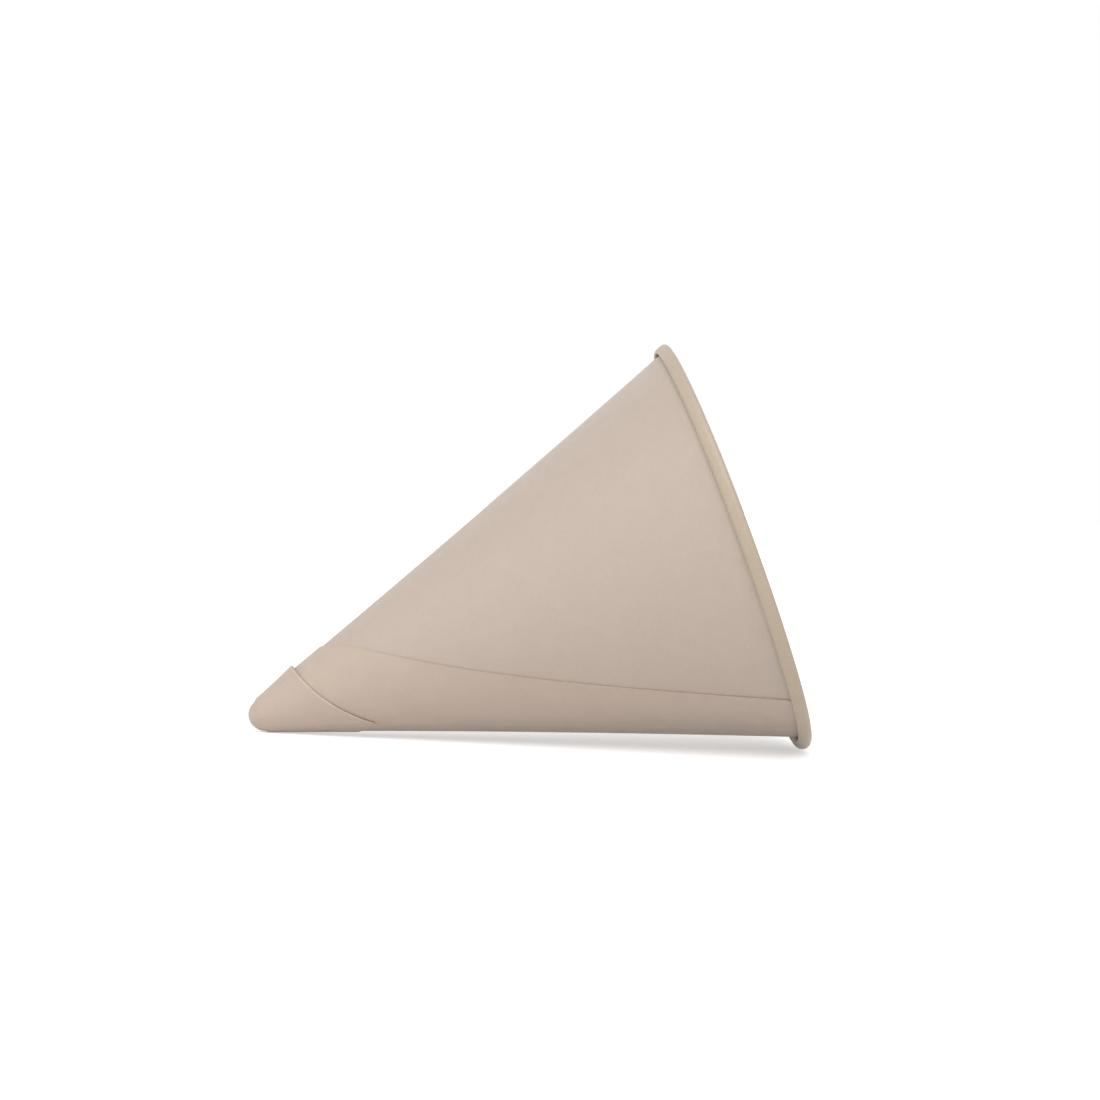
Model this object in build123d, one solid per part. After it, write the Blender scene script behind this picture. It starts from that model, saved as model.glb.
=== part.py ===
from build123d import *
import os
from math import acos, asin, atan, atan2, cos, degrees, exp, hypot, radians, sin, tan

# A cone paper cup, wound from one sheet of thin paper and glued along a slanting lap,
# with a wrapped tip and an outward rolled rim.
# It is drawn tip down on the Z axis, and laid on its side at the end.
# Lengths are in millimetres, and turns about the axis are in degrees.
# Turn 0 is the side that the cup lies on.

# The sheet
paper = 0.2

# The wall, a cone that flares a little towards the mouth
cup_height = 88.9
mouth_radius = 34.8
tip_radius = 1.8
wall_bow = 0.4

# The closed tip, where the plies end in a blunt nose
nose_height = 2.2
tip_depth = 1.1
nose_inset = 0.06
nose_overlap = 1.0

# The rolled rim, and the stiffer and fatter stretch where the lap is rolled in
roll_length = 2.3
roll_proud = 1.15
lap_roll_proud = 2.5
roll_gap = 0.05
roll_turn_in = 15.0
roll_dent = 0.07
swell_turn = 8.0
swell_half_turn = 50.0

# The slanting lap. Its outer edge is a straight cut of the flat sheet that passes
# the sheet's centre at this distance, nearest to it at this turn
seam_distance = 18.5
seam_foot_turn = -265.8
seam_under_roll = 0.35

# The sheet's inner edge, and the ramp by which the next ply steps down past it
inner_edge_turn = 18.0
ramp_turn = 3.0
groove_end = 3.0

# The tail of the sheet, which wraps the tip and stands off at its edge
tail_distance = 15.75
tail_foot_turn = -193.3
tail_end_turn = -290.0
tail_taper = 2.0
tail_lift = 0.4
tail_lift_turn = -178.0
tail_lift_half_turn = 75.0

# Spacing of the sections round the cup, and of the points up a section
section_step = 12.0
face_spans = 8
curl_spans = 16

# What follows from these sizes
roll_centre_z = cup_height - roll_length / 2
roll_reach = (roll_length - paper) / 2
mean_slope = (mouth_radius - tip_radius) / roll_centre_z
mean_angle = atan(mean_slope)
apex_z = -tip_radius / mean_slope


def wall_radius(z):
    """Radius of the single wall's outer face at a height."""
    share = z / roll_centre_z
    return tip_radius + mean_slope * z - 4 * wall_bow * share * (1 - share)


def wall_slope(z):
    """Growth of that radius for each millimetre of height."""
    return mean_slope - 4 * wall_bow * (1 - 2 * z / roll_centre_z) / roll_centre_z


mouth_angle = atan(wall_slope(roll_centre_z))


def turned(radius, z, turn):
    """Point at a radius and a height, turned about the axis."""
    return (radius * cos(radians(turn)), radius * sin(radians(turn)), z)


def on_wall(z, offset, turn):
    """Point off the single wall's outer face, by an offset that is positive outwards."""
    return turned(wall_radius(z) + offset / cos(mean_angle), z, turn)


def face_points(low, high, offset, turn):
    """Points up a face of the wall; the offset is a function of the height."""
    heights = [low + (high - low) * i / face_spans for i in range(face_spans + 1)]
    return [on_wall(z, offset(z), turn) for z in heights]


def by_roll(along, away, turn):
    """Point along the wall and away from its outer face, counted from the middle of the roll."""
    radius = mouth_radius + along * sin(mouth_angle) + away * cos(mouth_angle)
    z = roll_centre_z + along * cos(mouth_angle) - away * sin(mouth_angle)
    return turned(radius, z, turn)


def roll_height(turn):
    """How far the roll stands proud of the wall."""
    away = (turn - swell_turn + 180) % 360 - 180
    if abs(away) >= swell_half_turn:
        return roll_proud
    swell = cos(radians(90 * away / swell_half_turn)) ** 2
    return roll_proud + (lap_roll_proud - roll_proud) * swell


def curl_points(turn, side):
    """Points round one side of the curled paper, from the wall out and back to its cut edge."""
    proud = roll_height(turn)
    rest = 1.5 * paper + roll_gap
    front = proud / 2
    rear = (proud - paper / 2 - rest) / 2
    points = []
    for i in range(curl_spans + 1):
        angle = -90 + (360 + roll_turn_in) * i / curl_spans
        c, s = cos(radians(angle)), sin(radians(angle))
        lift = front if angle < 90 else rear
        centre = front - paper / 2 if angle < 90 else rest + rear
        dent = roll_dent * exp(-(((angle - 90) / 28) ** 2))
        size = hypot(lift * c, roll_reach * s)
        along = roll_reach * c + side * lift * c / size
        away = centre + lift * s - dent + side * roll_reach * s / size
        points.append(by_roll(along, away, turn))
    return points


def closed_outline(lines):
    """Closed wire through lines of points, each joined to the next by a straight edge if they part."""
    edges = []
    for line, following in zip(lines, lines[1:] + lines[:1]):
        edges.append(Spline(line) if len(line) > 2 else Line(line))
        if (Vector(*line[-1]) - Vector(*following[0])).length > paper / 100:
            edges.append(Line(line[-1], following[0]))
    return Wire(edges)


def cup_section(turn, seam_z):
    """Section of the wall and the roll, with two plies below the seam."""
    under_roll = roll_centre_z - roll_length / 2
    outside = curl_points(turn, paper / 2)
    inside = curl_points(turn, -paper / 2)
    inner_face = face_points(nose_height, under_roll, lambda z: -paper, turn)
    upper_face = face_points(seam_z, roll_centre_z, lambda z: 0, turn)[:-1]
    lower_face = face_points(nose_height, seam_z, lambda z: paper, turn)
    return closed_outline(
        [inner_face + outside[:1], outside, inside[::-1], inside[:1] + upper_face[::-1], lower_face[::-1]]
    )


def ramp_section(turn, seam_z, shift):
    """Section where the plies step past the sheet's inner edge, shifted outwards by up to one ply."""
    under_roll = roll_centre_z - roll_length / 2
    outside = curl_points(turn, paper / 2)
    inside = curl_points(turn, -paper / 2)

    def inner_offset(z):
        return -paper + shift * min(1, max(0, (under_roll - z) / groove_end))

    inner_face = face_points(nose_height, under_roll, inner_offset, turn)
    lap_top = roll_centre_z - seam_under_roll
    upper_face = face_points(seam_z, lap_top, lambda z: shift, turn)
    lower_face = face_points(nose_height, seam_z, lambda z: paper + shift, turn)
    stub = [inside[0], on_wall(lap_top, 0, turn)]
    return closed_outline(
        [inner_face + outside[:1], outside, inside[::-1], stub, upper_face[::-1], lower_face[::-1]]
    )


def slant_at(z):
    """Distance from the sheet's centre to a place on the wall, along the paper."""
    return (z - apex_z) / cos(mean_angle)


def edge_height(turn, distance, foot_turn):
    """Height at which a straight cut edge of the sheet crosses a turn about the axis."""
    bearing = radians(turn - foot_turn) * sin(mean_angle)
    return apex_z + distance / cos(bearing) * cos(mean_angle)


def seam_rim_turn():
    """Turn at which the lap's outer edge has run under the roll."""
    bearing = acos(seam_distance / slant_at(roll_centre_z - seam_under_roll))
    return seam_foot_turn + degrees(bearing) / sin(mean_angle)


def turns_between(first, last):
    """Evenly spaced turns from first to last."""
    count = int((last - first) / section_step) + 1
    return [first + (last - first) * i / count for i in range(count + 1)]


def wound_wall():
    """The wall and roll in three stretches: below the slanting seam, along the full lap, and past it."""
    rim_turn = seam_rim_turn()
    start = inner_edge_turn + ramp_turn - 360
    lap_top = roll_centre_z - seam_under_roll
    slanting = [
        cup_section(t, edge_height(t, seam_distance, seam_foot_turn)) for t in turns_between(start, rim_turn)
    ]
    full = [cup_section(t, lap_top) for t in turns_between(rim_turn, inner_edge_turn)]
    ramp = [
        ramp_section(t, edge_height(t - 360, seam_distance, seam_foot_turn), shift)
        for t, shift in [(inner_edge_turn, paper), (inner_edge_turn + ramp_turn, paper / 20)]
    ]
    return [Solid.make_loft(slanting), Solid.make_loft(full), Solid.make_loft(ramp, ruled=True)]


def nose_ball(offset, lowest):
    """Radius of the ball that closes a face of the wall, and the height at which it runs into it."""
    angle = atan(wall_slope(0))
    start = tip_radius + offset / cos(mean_angle) + lowest * tan(angle)
    ball = start * cos(angle) / (1 - sin(angle))
    return ball, lowest + ball * (1 - sin(angle))


def ball_point(ball, lowest, rise):
    """Point on a ball that rests on the axis at its lowest point, at an angle below its middle."""
    return (ball * cos(rise), 0, lowest + ball * (1 - sin(rise)))


def nose():
    """The blunt tip, a little inside the plies that end round it."""
    outer_ball, outer_low = nose_ball(paper - nose_inset, 0)
    inner_ball, inner_low = nose_ball(nose_inset - paper, tip_depth)
    top = inner_low + nose_overlap
    side = atan(wall_slope(0))
    part_way = (side + radians(90)) / 2
    outer_face = face_points(outer_low, top, lambda z: paper - nose_inset, 0)
    inner_face = face_points(inner_low, top, lambda z: nose_inset - paper, 0)
    outer_face[0] = ball_point(outer_ball, 0, side)
    inner_face[0] = ball_point(inner_ball, tip_depth, side)
    section = [
        ThreePointArc((0, 0, 0), ball_point(outer_ball, 0, part_way), outer_face[0]),
        Spline(outer_face),
        Line(outer_face[-1], inner_face[-1]),
        Spline(inner_face[::-1]),
        ThreePointArc(inner_face[0], ball_point(inner_ball, tip_depth, part_way), (0, 0, tip_depth)),
        Line((0, 0, tip_depth), (0, 0, 0)),
    ]
    return revolve(Face(Wire(section)), Axis.Z)


def lift_at(turn):
    """How far the tail's edge stands off the cup."""
    away = abs(turn - tail_lift_turn) / tail_lift_half_turn
    return tail_lift * cos(radians(90 * min(1, away))) ** 2


def tail_section(turn):
    """Section of the sheet's tail, from the nose to its edge, which lifts off near that edge."""
    if turn > tail_corner_turn():
        edge_z = edge_height(turn, seam_distance, seam_foot_turn + 360)
    else:
        edge_z = edge_height(turn, tail_distance, tail_foot_turn)
    lift = lift_at(turn)

    def under(z):
        share = (z - nose_height) / (edge_z - nose_height)
        return paper / 2 + (lift + paper / 2) * share**2

    def over(z):
        share = (z - nose_height) / (edge_z - nose_height)
        full = 2 * paper + lift * share**2
        return full - paper / 2 * max(0, 1 - (z - nose_height) / tail_taper) ** 2

    inner = face_points(nose_height, edge_z, under, turn)
    outer = face_points(nose_height, edge_z, over, turn)
    return closed_outline([inner, outer[::-1]])


def tail_corner_turn():
    """Turn at which the two cut edges of the sheet meet in the tail's corner."""
    turn = inner_edge_turn
    seam_foot = seam_foot_turn + 360
    while edge_height(turn, seam_distance, seam_foot) < edge_height(turn, tail_distance, tail_foot_turn):
        turn -= 0.25
    return turn


def tail():
    """The sheet's last turn, round the tip."""
    corner = tail_corner_turn()
    past_seam = [tail_section(t) for t in turns_between(corner, inner_edge_turn)]
    wrap = [tail_section(t) for t in turns_between(tail_end_turn, corner)]
    return [Solid.make_loft(past_seam), Solid.make_loft(wrap)]


def lean():
    """Angle between the axis and the floor when the cup lies on its roll and its nose."""
    ball = nose_ball(paper - nose_inset, 0)[0]
    roll_away = lap_roll_proud / 2 - paper / 2
    roll_side = mouth_radius + roll_away * cos(mouth_angle)
    roll_z = roll_centre_z - roll_away * sin(mouth_angle)
    roll_radius = (lap_roll_proud + paper) / 2
    span = hypot(roll_side, roll_z - ball)
    return atan2(roll_side, roll_z - ball) + asin((roll_radius - ball) / span)


def lay_down(cup):
    """Turn the cup onto its lapped side, mouth towards +X, and centre its box over the origin."""
    lying = Rotation(0, 90 - degrees(lean()), 0) * cup
    box = lying.bounding_box()
    middle = box.center()
    return Pos(-middle.X, -middle.Y, -box.min.Z) * lying


def cone_cup():
    """The whole cup as one solid."""
    first, *others = wound_wall()
    wall = first.fuse(*others, glue=True)
    return wall.fuse(nose())


os.makedirs("parts", exist_ok=True)
export_step(lay_down(cone_cup()), "parts/cone_cup.step")
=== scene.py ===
import math

import bmesh
import bpy
import numpy as np
from mathutils import Matrix, Vector


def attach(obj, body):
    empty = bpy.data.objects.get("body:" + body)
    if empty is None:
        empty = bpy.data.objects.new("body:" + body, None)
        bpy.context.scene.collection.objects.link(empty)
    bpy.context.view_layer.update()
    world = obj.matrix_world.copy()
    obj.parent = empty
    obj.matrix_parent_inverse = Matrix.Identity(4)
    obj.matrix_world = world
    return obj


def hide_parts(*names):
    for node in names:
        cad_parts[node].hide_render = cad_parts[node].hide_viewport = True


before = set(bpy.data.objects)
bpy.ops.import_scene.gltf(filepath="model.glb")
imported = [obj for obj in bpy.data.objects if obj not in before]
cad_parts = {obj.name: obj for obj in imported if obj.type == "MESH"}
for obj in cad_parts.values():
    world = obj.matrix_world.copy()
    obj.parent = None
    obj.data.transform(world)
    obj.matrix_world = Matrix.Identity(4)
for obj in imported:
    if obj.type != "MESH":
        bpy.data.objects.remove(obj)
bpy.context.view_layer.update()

# A cone paper cup, wound from one thin sheet, lying on its side.
# Its section is drawn in millimetres, tip down on an axis, for each turn about that axis.
# Turn 0 is the side that it lies on, and turn -90 faces the camera. Blender's units are metres.

MM = 0.001

# The sheet and the wall, as in the CAD model
PAPER = 0.2
CUP_HEIGHT = 88.9
MOUTH_RADIUS = 34.8
TIP_RADIUS = 1.8
WALL_BOW = 0.4

# The closed tip, where the plies end one after the other round a blunt nose
TIP_DEPTH = 1.1
NOSE_INSET = 0.06
PLY_END_Z = 1.7
PLY_END_SPREAD = 0.7

# The rolled rim
ROLL_LENGTH = 2.3
ROLL_PROUD = 1.15
ROLL_GAP = 0.05
ROLL_TURN_IN = 15.0
ROLL_DENT = 0.07
ROLL_DENT_ANGLE = 28.0

# Where the lap is rolled in, the roll is stiffer and stands prouder
LAP_ROLL_PROUD = 2.5
SWELL_TURN = 8.0
SWELL_HALF_TURN = 50.0

# The lap's slanting outer edge. A straight cut of the flat sheet passes the sheet's centre
# at this distance, nearest to it at this turn
SEAM_DISTANCE = 18.5
SEAM_FOOT_TURN = -265.8
SEAM_UNDER_ROLL = 0.35

# The sheet's inner edge, and the ramp by which the next ply steps down past it.
# Below the roll, the inside takes this height to come back to a single ply
INNER_EDGE_TURN = 18.0
RAMP_TURN = 3.0
STEP_RUNOUT = 3.0

# The tail, a third ply round the tip. It is bonded low down, and its own cut edge stands off
TAIL_INSET = 2.75
TAIL_FOOT_TURN = -193.3
TAIL_END_TURN = -290.0
TAIL_BONDED_SHARE = 0.4
TAIL_GAP = 0.1
TAIL_LIFT = 0.4
TAIL_LIFT_TURN = -178.0
TAIL_LIFT_HALF_TURN = 75.0

# Along its edge the lap stands off the ply below it, over a length that shortens to a share of it
# where the edge nears the roll
LIP_GAP = 0.02
LIP_LENGTH = 1.3
LIP_SHORTEST = 0.1
LIP_RUNOUT = 4.0

# A slight ridge runs round the wall just below the roll
CREASE_DROP = 0.65
CREASE_HEIGHT = 0.05
CREASE_WIDTH = 0.22

# The paper's colours, as linear values
PLY_COLOUR = (0.465, 0.375, 0.31, 1)
LAP_COLOUR = (0.478, 0.376, 0.302, 1)
ROLL_COLOUR = (0.435, 0.345, 0.245, 1)
# The cut edges' lighter colour is a painted highlight, for the edges catching the light
EDGE_HIGHLIGHT_COLOUR = (0.60, 0.50, 0.37, 1)
CLOUD_COLOUR = (0.41, 0.325, 0.265, 1)
FIBRE_COLOUR = (0.56, 0.47, 0.40, 1)

# Its clouds and fibres: how many to the millimetre, the noise that counts, and how far they show
CLOUD_SCALE = 0.35
CLOUD_DETAIL = 4.0
CLOUD_ROUGHNESS = 0.6
CLOUD_RANGE = (0.3, 0.7)
CLOUD_SHARE = 0.25
FIBRE_SCALE = 2.2
FIBRE_DETAIL = 3.0
FIBRE_ROUGHNESS = 0.55
FIBRE_RANGE = (0.35, 0.7)
FIBRE_SHARE = 0.2

# Its finish
ROUGHNESS = (0.46, 0.56)
SPECULAR = 0.9
SHEEN = 0.15
SHEEN_ROUGHNESS = 0.4
BUMP_STRENGTH = 0.12
BUMP_HEIGHT = 0.00006

# The light: soft from all round, a key lamp high in front, and a fill lamp low in front
AMBIENT = 0.6
KEY_FROM = (-0.35, -0.75, 1.0)
KEY_STRENGTH = 1.5
KEY_SPREAD = 60
FILL_FROM = (0.1, -1.0, 0.2)
FILL_STRENGTH = 0.6
FILL_SPREAD = 90

# The floor, in metres, and how much of its white it has without any light
FLOOR_SIZE = 6.0
FLOOR_COLOUR = (0.86, 0.86, 0.86, 1)
FLOOR_ROUGHNESS = 0.9
FLOOR_GLOW = 0.5
WHITE = (1, 1, 1, 1)

# The camera, in metres and degrees. Its focal length is in pixels of a photograph this wide
SENSOR_WIDTH = 36
IMAGE_SIZE = 1100
CAMERA_FOCAL = 2638
CAMERA_PLACE = (-0.00504, -0.44974, 0.04622)
CAMERA_TARGET = (0.00254, 0.0, 0.03282)
CAMERA_ROLL = 2.116

# How finely the mesh is drawn: the step between its rows, and the points of each part of a row.
# A crowding above 1 draws the points together at one end of a part
TURN_STEP = 1.2
TAIL_END_STEP = 0.6
CORNER_STEP = 0.25
RAMP_ROWS = 6
INNER_COUNT = 50
CURL_COUNT = 29
UPPER_COUNT = 40
LIP_COUNT = 5
LOWER_COUNT = 34
TAIL_COUNT = 12
FOOT_COUNT = 44
INNER_CROWDING = 1.6
UPPER_CROWDING = 1.8
LOWER_CROWDING = 1.6
FOOT_CROWDING = 1.5
MERGE_DISTANCE = 2e-7
SHARP_ANGLE = 40

# Kinds of surface, which the material tells apart
ROLL, INSIDE, ONE_PLY, TWO_PLIES, TAIL, EDGE = range(6)

# A colour mix node's sockets for its factor and its two colours, and for its result
COLOUR_MIX_INPUTS = (0, 6, 7)
COLOUR_MIX_OUTPUT = 2

ROLL_CENTRE_Z = CUP_HEIGHT - ROLL_LENGTH / 2
ROLL_REACH = (ROLL_LENGTH - PAPER) / 2
MEAN_SLOPE = (MOUTH_RADIUS - TIP_RADIUS) / ROLL_CENTRE_Z
MEAN_ANGLE = math.atan(MEAN_SLOPE)
APEX_Z = -TIP_RADIUS / MEAN_SLOPE
MOUTH_ANGLE = math.atan(MEAN_SLOPE + 4 * WALL_BOW / ROLL_CENTRE_Z)
LAP_TOP = ROLL_CENTRE_Z - SEAM_UNDER_ROLL
UNDER_ROLL = ROLL_CENTRE_Z - ROLL_LENGTH / 2
CREASE_Z = UNDER_ROLL - CREASE_DROP
TAIL_DISTANCE = SEAM_DISTANCE - TAIL_INSET
FIRST_TURN = INNER_EDGE_TURN + RAMP_TURN - 360


def smooth(value):
    """Smooth step from 0 to 1."""
    t = np.clip(value, 0, 1)
    return t * t * (3 - 2 * t)


def wall_radius(z):
    """Radius of the single wall's outer face at a height. The wall bows in along a parabola."""
    share = z / ROLL_CENTRE_Z
    return TIP_RADIUS + MEAN_SLOPE * z - 4 * WALL_BOW * share * (1 - share)


def wall_ball(offset, lowest):
    """Radius of the ball that closes a face of the wall, and the height at which it runs into it."""
    angle = math.atan(MEAN_SLOPE - 4 * WALL_BOW / ROLL_CENTRE_Z)
    start = TIP_RADIUS + offset / math.cos(MEAN_ANGLE) + lowest * math.tan(angle)
    ball = start * math.cos(angle) / (1 - math.sin(angle))
    return ball, lowest + ball * (1 - math.sin(angle))


def face_radius(z, offset, skin, lowest):
    """Radius of a face of the wall, which thins to a skin and closes in a ball at the tip."""
    ball, meets = wall_ball(skin, lowest)
    inside = np.clip(ball**2 - (lowest + ball - z) ** 2, 0, None)
    ridge = CREASE_HEIGHT * np.exp(-(((z - CREASE_Z) / CREASE_WIDTH) ** 2))
    wall = wall_radius(z) + skin / math.cos(MEAN_ANGLE) + ridge
    over = (offset - skin) * smooth((z - PLY_END_Z) / PLY_END_SPREAD) / math.cos(MEAN_ANGLE)
    return np.where(z < meets, np.sqrt(inside), wall) + over


def outer_radius(z, offset):
    """Radius of an outer face that lies off the single wall."""
    return face_radius(z, offset, PAPER - NOSE_INSET, 0)


def by_roll(along, away):
    """Radius and height of a place along the wall and away from it, counted from the roll's middle."""
    radius = MOUTH_RADIUS + along * math.sin(MOUTH_ANGLE) + away * math.cos(MOUTH_ANGLE)
    return radius, ROLL_CENTRE_Z + along * math.cos(MOUTH_ANGLE) - away * math.sin(MOUTH_ANGLE)


def roll_height(turn):
    """How far the roll stands proud of the wall: more where the lap is rolled in."""
    away = (turn - SWELL_TURN + 180) % 360 - 180
    swell = math.cos(math.radians(90 * min(1, abs(away) / SWELL_HALF_TURN))) ** 2
    return ROLL_PROUD + (LAP_ROLL_PROUD - ROLL_PROUD) * swell


def curl(turn, side):
    """Radii and heights round one side of the curled paper, from the wall out and back to its edge."""
    proud = roll_height(turn)
    rest = 1.5 * PAPER + ROLL_GAP
    front = proud / 2
    rear = (proud - PAPER / 2 - rest) / 2
    angle = np.linspace(-90, 270 + ROLL_TURN_IN, CURL_COUNT)
    c, s = np.cos(np.radians(angle)), np.sin(np.radians(angle))
    lift = np.where(angle < 90, front, rear)
    centre = np.where(angle < 90, front - PAPER / 2, rest + rear)
    dent = ROLL_DENT * np.exp(-(((angle - 90) / ROLL_DENT_ANGLE) ** 2))
    size = np.hypot(lift * c, ROLL_REACH * s)
    along = ROLL_REACH * c + side * lift * c / size
    away = centre + lift * s - dent + side * ROLL_REACH * s / size
    return by_roll(along, away)


def edge_height(turn, distance, foot_turn):
    """Height at which a straight cut edge of the sheet crosses a turn about the axis."""
    bearing = math.radians(turn - foot_turn) * math.sin(MEAN_ANGLE)
    return APEX_Z + distance / math.cos(bearing) * math.cos(MEAN_ANGLE)


def seam_height(turn):
    """Height of the lap's outer edge."""
    return edge_height(turn, SEAM_DISTANCE, SEAM_FOOT_TURN)


def seam_rim_turn():
    """Turn at which the lap's outer edge has run under the roll."""
    slant = (LAP_TOP - APEX_Z) / math.cos(MEAN_ANGLE)
    bearing = math.acos(SEAM_DISTANCE / slant)
    return SEAM_FOOT_TURN + math.degrees(bearing) / math.sin(MEAN_ANGLE)


def own_tail_height(turn):
    """Height of the tail's own cut edge."""
    return edge_height(turn, TAIL_DISTANCE, TAIL_FOOT_TURN)


def tail_corner_turn():
    """Turn at which the tail's own edge meets the lap's edge, one turn on."""
    turn = INNER_EDGE_TURN
    while seam_height(turn - 360) < own_tail_height(turn):
        turn -= CORNER_STEP
    return turn


def tail_lift(turn):
    """How far the tail's edge is bent away from the cup."""
    away = min(1, abs(turn - TAIL_LIFT_TURN) / TAIL_LIFT_HALF_TURN)
    return TAIL_LIFT * math.cos(math.radians(90 * away)) ** 2


def heights(first, last, count, crowding=1.0):
    """Heights from first to last, closer together at the first where the crowding is above 1."""
    return first + (last - first) * np.linspace(0, 1, count) ** crowding


def top_faces(turn, shift):
    """The inside and both sides of the roll. The shift is what is left of a ply in the ramp."""
    z = heights(TIP_DEPTH, ROLL_CENTRE_Z, INNER_COUNT, INNER_CROWDING)[:-1]
    offset = shift * smooth((UNDER_ROLL - z) / STEP_RUNOUT) - PAPER
    outer_side = curl(turn, PAPER / 2)
    inner_side = curl(turn, -PAPER / 2)
    return [
        (face_radius(z, offset, NOSE_INSET - PAPER, TIP_DEPTH), z, INSIDE),
        (outer_side[0], outer_side[1], ROLL),
        (inner_side[0][::-1], inner_side[1][::-1], ROLL),
    ]


def edged(z, kind):
    """The kinds of a face's points, where the first one is on a cut edge."""
    kinds = np.full(len(z), kind)
    # The point on the cut edge gets the material's painted highlight
    kinds[0] = EDGE
    return kinds


def lap_faces(edge_z, low_z, shift):
    """The outer face above the lap's edge, then under that edge, and the outer ply down to a height."""
    clear = float(smooth((UNDER_ROLL - edge_z) / LIP_RUNOUT))
    length = LIP_LENGTH * max(LIP_SHORTEST, clear)

    def lip(z):
        return LIP_GAP * np.clip((z - edge_z) / length + 1, 0, 1) ** 2

    drop = heights(0, ROLL_CENTRE_Z - edge_z + length, UPPER_COUNT, UPPER_CROWDING)
    above = ROLL_CENTRE_Z - drop[1:]
    base = shift * smooth((LAP_TOP - above) / SEAM_UNDER_ROLL)
    beneath = heights(edge_z - length, edge_z, LIP_COUNT)[1:]
    outer = heights(edge_z, low_z, LOWER_COUNT, LOWER_CROWDING)
    return [
        (outer_radius(above, base), above, ONE_PLY),
        (outer_radius(beneath, shift + lip(beneath)), beneath, ONE_PLY),
        (outer_radius(outer, PAPER + shift + lip(outer)), outer, edged(outer, TWO_PLIES)),
    ]


def foot_heights(high):
    """Heights from a given one down to the tip, closer together at the tip."""
    return heights(0, high, FOOT_COUNT, FOOT_CROWDING)[::-1]


def plain_section(turn, shift=0.0):
    """Section with no tail. Past the inner edge, what shows of the lap belongs to the next turn."""
    edge_z = seam_height(turn if turn < INNER_EDGE_TURN else turn - 360)
    bond_z = TAIL_BONDED_SHARE * own_tail_height(TAIL_END_TURN)
    held = np.full(TAIL_COUNT, bond_z)
    foot = foot_heights(bond_z)
    faces = top_faces(turn, shift) + lap_faces(edge_z, bond_z, shift)
    faces.append((outer_radius(held, PAPER + shift), held, TWO_PLIES))
    faces.append((outer_radius(foot, PAPER + shift), foot, TWO_PLIES))
    return faces


def free_tail_section(turn):
    """Section where the tail ends in its own cut edge, which stands off the ply below."""
    edge_z = own_tail_height(turn)
    bond_z = TAIL_BONDED_SHARE * edge_z

    def stand_off(z):
        return (TAIL_GAP + tail_lift(turn)) * (z / edge_z) ** 2

    lap_z = seam_height(turn) if turn < seam_rim_turn() else LAP_TOP
    under = heights(bond_z, edge_z, TAIL_COUNT)
    foot = foot_heights(edge_z)
    faces = top_faces(turn, 0) + lap_faces(lap_z, bond_z, 0)
    faces.append((outer_radius(under, PAPER + stand_off(under)), under, TAIL))
    faces.append((outer_radius(foot, 2 * PAPER + stand_off(foot)), foot, edged(foot, TAIL)))
    return faces


def glued_tail_section(turn):
    """Section where the tail ends in the lap's edge, one turn on."""
    edge_z = seam_height(turn - 360)
    held = np.full(TAIL_COUNT, edge_z)
    foot = foot_heights(edge_z)
    faces = top_faces(turn, 0) + lap_faces(LAP_TOP, edge_z, 0)
    faces.append((outer_radius(held, 2 * PAPER), held, TAIL))
    faces.append((outer_radius(foot, 2 * PAPER), foot, TAIL))
    return faces


def turns_between(first, last):
    """Evenly spaced turns from first to last."""
    return np.linspace(first, last, int((last - first) / TURN_STEP) + 2)


def all_rows():
    """Every row of the mesh, as points of the upright cup with their kinds."""
    corner = tail_corner_turn()
    before_tail = turns_between(FIRST_TURN, TAIL_END_TURN - TAIL_END_STEP)
    free_tail = turns_between(TAIL_END_TURN, corner - TAIL_END_STEP)
    glued_tail = turns_between(corner, INNER_EDGE_TURN)
    sections = [(turn, plain_section(turn)) for turn in before_tail]
    sections += [(turn, free_tail_section(turn)) for turn in free_tail]
    sections += [(turn, glued_tail_section(turn)) for turn in glued_tail]
    for left in np.linspace(1, 0, RAMP_ROWS)[1:]:
        turn = INNER_EDGE_TURN + RAMP_TURN * (1 - left)
        sections.append((turn, plain_section(turn, PAPER * float(smooth(left)))))
    rows = []
    for turn, faces in sections:
        radius = np.concatenate([face[0] for face in faces])
        z = np.concatenate([face[1] for face in faces])
        kind = np.concatenate([np.full(len(face[1]), face[2]) for face in faces])
        t = math.radians(turn)
        rows.append(np.stack([radius * math.cos(t), radius * math.sin(t), z, kind], axis=1))
    return rows


def lean():
    """Angle between the axis and the floor when the cup lies on its roll and its nose."""
    ball = wall_ball(PAPER - NOSE_INSET, 0)[0]
    roll_side, roll_z = by_roll(0, LAP_ROLL_PROUD / 2 - PAPER / 2)
    roll_radius = (LAP_ROLL_PROUD + PAPER) / 2
    span = math.hypot(roll_side, roll_z - ball)
    return math.atan2(roll_side, roll_z - ball) + math.asin((roll_radius - ball) / span)


def laid_down(points):
    """Points of the upright cup, laid on its side with its box over the origin, in metres."""
    angle = math.pi / 2 - lean()
    x = points[:, 0] * math.cos(angle) + points[:, 2] * math.sin(angle)
    z = points[:, 2] * math.cos(angle) - points[:, 0] * math.sin(angle)
    lying = np.stack([x, points[:, 1], z], axis=1)
    low, high = lying.min(axis=0), lying.max(axis=0)
    return (lying - [(low[0] + high[0]) / 2, (low[1] + high[1]) / 2, low[2]]) * MM


def joined(width, start):
    """Faces between two rows of this many points each."""
    far = start + width
    return [(start + j, start + j + 1, far + j + 1, far + j) for j in range(width - 1)]


def lengths_along(row):
    """How far each point of a row lies along it."""
    steps = np.linalg.norm(np.diff(row[:, :3], axis=0), axis=1)
    return np.cumsum(np.r_[0, steps])


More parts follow.
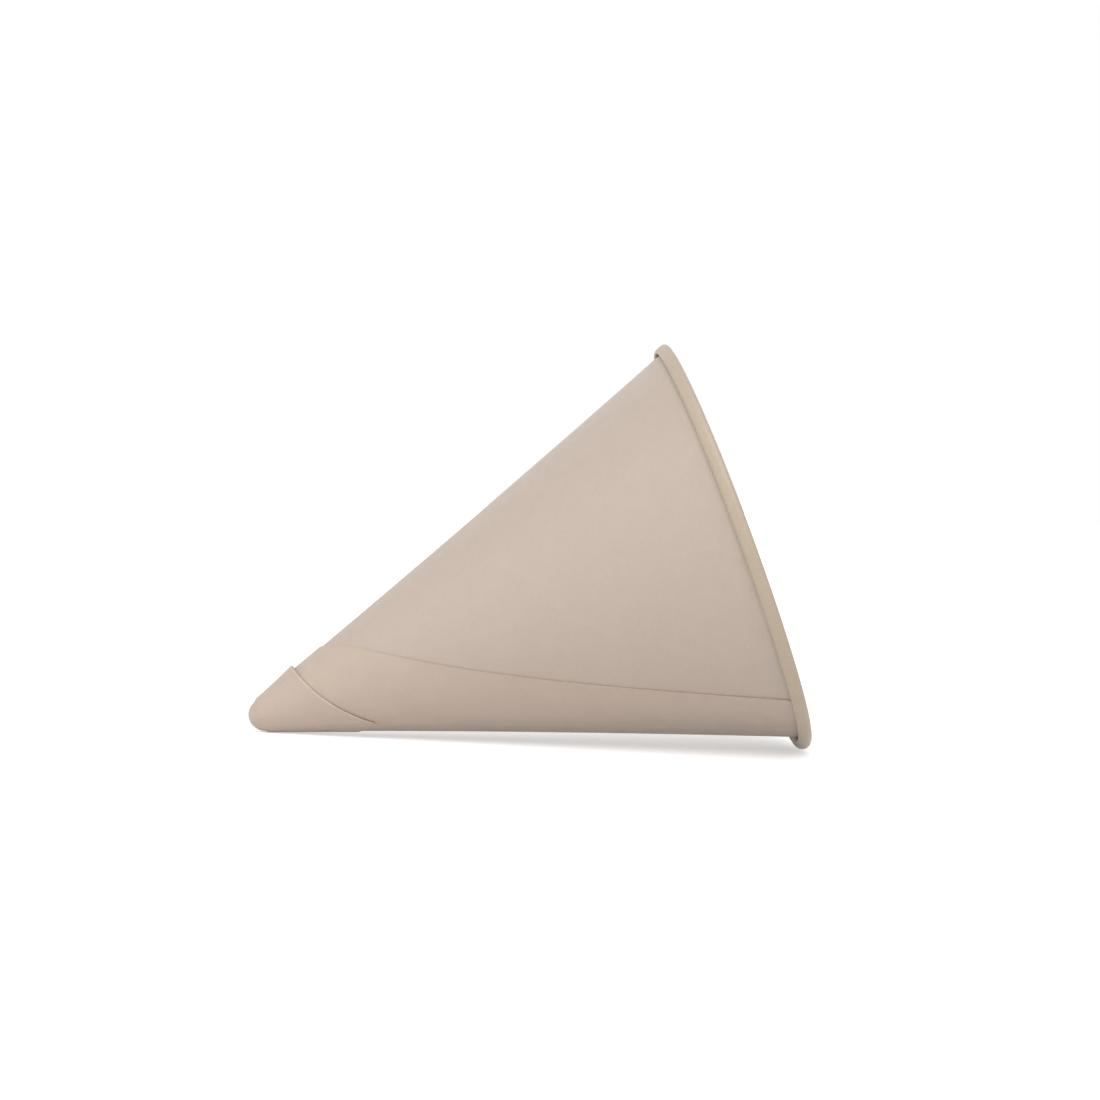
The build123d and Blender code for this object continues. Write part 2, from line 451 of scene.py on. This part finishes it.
def zipped(first, second, start):
    """Faces between two rows whose points lie at different places along the same outline."""
    far = start + len(first)
    first_along = np.append(lengths_along(first), np.inf)
    second_along = np.append(lengths_along(second), np.inf)
    i, j, faces = 0, 0, []
    while i < len(first) - 1 or j < len(second) - 1:
        if first_along[i + 1] < second_along[j + 1]:
            faces.append((start + i, start + i + 1, far + j))
            i += 1
        else:
            faces.append((start + i, far + j + 1, far + j))
            j += 1
    return faces


def cup_mesh():
    """The cup's mesh, through all its rows. Each point carries its kind and its upright place."""
    rows = all_rows()
    ramp_start = len(rows) - RAMP_ROWS
    faces, start = [], 0
    for i in range(len(rows) - 1):
        if i == ramp_start:
            faces += zipped(rows[i], rows[i + 1], start)
        else:
            faces += joined(len(rows[i]), start)
        start += len(rows[i])
    points = np.concatenate(rows)
    mesh = bpy.data.meshes.new("paper_cup")
    mesh.from_pydata(laid_down(points).tolist(), [], faces)
    kind = mesh.attributes.new("kind", "FLOAT", "POINT")
    kind.data.foreach_set("value", points[:, 3].astype(np.float32))
    upright = mesh.attributes.new("upright", "FLOAT_VECTOR", "POINT")
    upright.data.foreach_set("vector", points[:, :3].astype(np.float32).ravel())
    work = bmesh.new()
    work.from_mesh(mesh)
    bmesh.ops.remove_doubles(work, verts=work.verts, dist=MERGE_DISTANCE)
    bmesh.ops.recalc_face_normals(work, faces=work.faces)
    work.to_mesh(mesh)
    work.free()
    mesh.shade_smooth()
    mesh.set_sharp_from_angle(angle=math.radians(SHARP_ANGLE))
    return mesh


def paper_material():
    """Thin natural paper with cloudy fibres. One ply, the lap and the roll differ in colour, and the
    cut edges are lighter, a painted highlight where they catch the light.
    """
    material = bpy.data.materials.new("natural_paper")
    material.use_nodes = True
    nodes, links = material.node_tree.nodes, material.node_tree.links
    shader = nodes["Principled BSDF"]

    def node(kind, **values):
        made = nodes.new(kind)
        for name, value in values.items():
            made.inputs[name].default_value = value
        return made

    def mixed(factor, first, second):
        mix = nodes.new("ShaderNodeMix")
        mix.data_type = "RGBA"
        for socket, value in zip(COLOUR_MIX_INPUTS, (factor, first, second)):
            if isinstance(value, bpy.types.NodeSocket):
                links.new(value, mix.inputs[socket])
            else:
                mix.inputs[socket].default_value = value
        return mix.outputs[COLOUR_MIX_OUTPUT]

    def ranged(value, low, high, to_low, to_high):
        limits = {"From Min": low, "From Max": high, "To Min": to_low, "To Max": to_high}
        made = node("ShaderNodeMapRange", **limits)
        links.new(value, made.inputs["Value"])
        return made.outputs["Result"]

    kind = nodes.new("ShaderNodeAttribute")
    kind.attribute_name = "kind"
    upright = nodes.new("ShaderNodeAttribute")
    upright.attribute_name = "upright"

    def noise(scale, detail, roughness):
        texture = node("ShaderNodeTexNoise", Scale=scale, Detail=detail, Roughness=roughness)
        links.new(upright.outputs["Vector"], texture.inputs["Vector"])
        return texture.outputs["Fac"]

    clouds = noise(CLOUD_SCALE, CLOUD_DETAIL, CLOUD_ROUGHNESS)
    fibres = noise(FIBRE_SCALE, FIBRE_DETAIL, FIBRE_ROUGHNESS)

    single = ranged(kind.outputs["Fac"], ONE_PLY, TWO_PLIES, 1, 0)
    rolled = ranged(kind.outputs["Fac"], INSIDE, ROLL, 0, 1)
    # The cut edges get a lighter colour, a painted highlight where they catch the light
    cut = ranged(kind.outputs["Fac"], TAIL, EDGE, 0, 1)
    cloudy = ranged(clouds, *CLOUD_RANGE, 0, CLOUD_SHARE)
    fibrous = ranged(fibres, *FIBRE_RANGE, 0, FIBRE_SHARE)
    colour = mixed(single, LAP_COLOUR, PLY_COLOUR)
    colour = mixed(rolled, colour, ROLL_COLOUR)
    colour = mixed(cut, colour, EDGE_HIGHLIGHT_COLOUR)
    colour = mixed(cloudy, colour, CLOUD_COLOUR)
    colour = mixed(fibrous, colour, FIBRE_COLOUR)
    links.new(colour, shader.inputs["Base Color"])

    roughness = ranged(clouds, *CLOUD_RANGE, *ROUGHNESS)
    links.new(roughness, shader.inputs["Roughness"])
    shader.inputs["Specular IOR Level"].default_value = SPECULAR
    shader.inputs["Sheen Weight"].default_value = SHEEN
    shader.inputs["Sheen Roughness"].default_value = SHEEN_ROUGHNESS
    bump = node("ShaderNodeBump", Strength=BUMP_STRENGTH, Distance=BUMP_HEIGHT)
    links.new(fibres, bump.inputs["Height"])
    links.new(bump.outputs["Normal"], shader.inputs["Normal"])
    return material


def seen_directly(nodes, links):
    """1 for what the camera sees, also in a reflection or through something, and 0 for its light."""
    path = nodes.new("ShaderNodeLightPath")
    seen = path.outputs["Is Camera Ray"]
    for name in ("Is Glossy Ray", "Is Transmission Ray"):
        either = nodes.new("ShaderNodeMath")
        either.operation = "MAXIMUM"
        links.new(seen, either.inputs[0])
        links.new(path.outputs[name], either.inputs[1])
        seen = either.outputs[0]
    return seen


def floor_material():
    """Pale floor that looks white where it is lit, and still shows the cup's shadow."""
    material = bpy.data.materials.new("pale_floor")
    material.use_nodes = True
    nodes, links = material.node_tree.nodes, material.node_tree.links
    shader = nodes["Principled BSDF"]
    shader.inputs["Base Color"].default_value = FLOOR_COLOUR
    shader.inputs["Roughness"].default_value = FLOOR_ROUGHNESS
    shader.inputs["Specular IOR Level"].default_value = 0.0
    shader.inputs["Emission Color"].default_value = WHITE
    glow = nodes.new("ShaderNodeMath")
    glow.operation = "MULTIPLY"
    glow.inputs[1].default_value = FLOOR_GLOW
    links.new(seen_directly(nodes, links), glow.inputs[0])
    links.new(glow.outputs[0], shader.inputs["Emission Strength"])
    return material


def white_world():
    """Soft even light from all round, behind a background that looks white."""
    world = bpy.data.worlds.new("studio")
    bpy.context.scene.world = world
    world.use_nodes = True
    nodes, links = world.node_tree.nodes, world.node_tree.links
    nodes.clear()
    ambient = nodes.new("ShaderNodeBackground")
    ambient.inputs["Color"].default_value = WHITE
    ambient.inputs["Strength"].default_value = AMBIENT
    white = nodes.new("ShaderNodeBackground")
    white.inputs["Color"].default_value = WHITE
    white.inputs["Strength"].default_value = 1
    mix = nodes.new("ShaderNodeMixShader")
    output = nodes.new("ShaderNodeOutputWorld")
    links.new(seen_directly(nodes, links), mix.inputs[0])
    links.new(ambient.outputs[0], mix.inputs[1])
    links.new(white.outputs[0], mix.inputs[2])
    links.new(mix.outputs[0], output.inputs[0])


def soft_lamp(name, direction, strength, spread):
    """A broad soft lamp far away, as even on the floor as on the cup."""
    light = bpy.data.lights.new(name, "SUN")
    light.energy = strength
    light.angle = math.radians(spread)
    lamp = bpy.data.objects.new(name, light)
    lamp.rotation_euler = Vector(direction).to_track_quat("Z", "Y").to_euler()
    bpy.context.scene.collection.objects.link(lamp)


def photo_camera():
    """The camera at the photograph's viewing angle."""
    lens = bpy.data.cameras.new("camera")
    lens.sensor_width = SENSOR_WIDTH
    lens.lens = SENSOR_WIDTH * CAMERA_FOCAL / IMAGE_SIZE
    camera = bpy.data.objects.new("camera", lens)
    bpy.context.scene.collection.objects.link(camera)
    aim = (Vector(CAMERA_TARGET) - Vector(CAMERA_PLACE)).to_track_quat("-Z", "Y")
    roll = Matrix.Rotation(math.radians(CAMERA_ROLL), 4, "Z")
    camera.matrix_world = Matrix.Translation(CAMERA_PLACE) @ aim.to_matrix().to_4x4() @ roll
    return camera


cup = bpy.data.objects.new("paper_cup", cup_mesh())
bpy.context.scene.collection.objects.link(cup)
cup.data.materials.append(paper_material())
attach(cup, "root")
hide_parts("cone_cup")

floor_mesh = bpy.data.meshes.new("floor")
half = FLOOR_SIZE / 2
corners = [(-half, -half, 0), (half, -half, 0), (half, half, 0), (-half, half, 0)]
floor_mesh.from_pydata(corners, [], [(0, 1, 2, 3)])
floor = bpy.data.objects.new("floor", floor_mesh)
floor.data.materials.append(floor_material())
bpy.context.scene.collection.objects.link(floor)

white_world()
soft_lamp("key", KEY_FROM, KEY_STRENGTH, KEY_SPREAD)
soft_lamp("fill", FILL_FROM, FILL_STRENGTH, FILL_SPREAD)

bpy.context.scene.camera = photo_camera()
bpy.context.scene.view_settings.view_transform = "Standard"
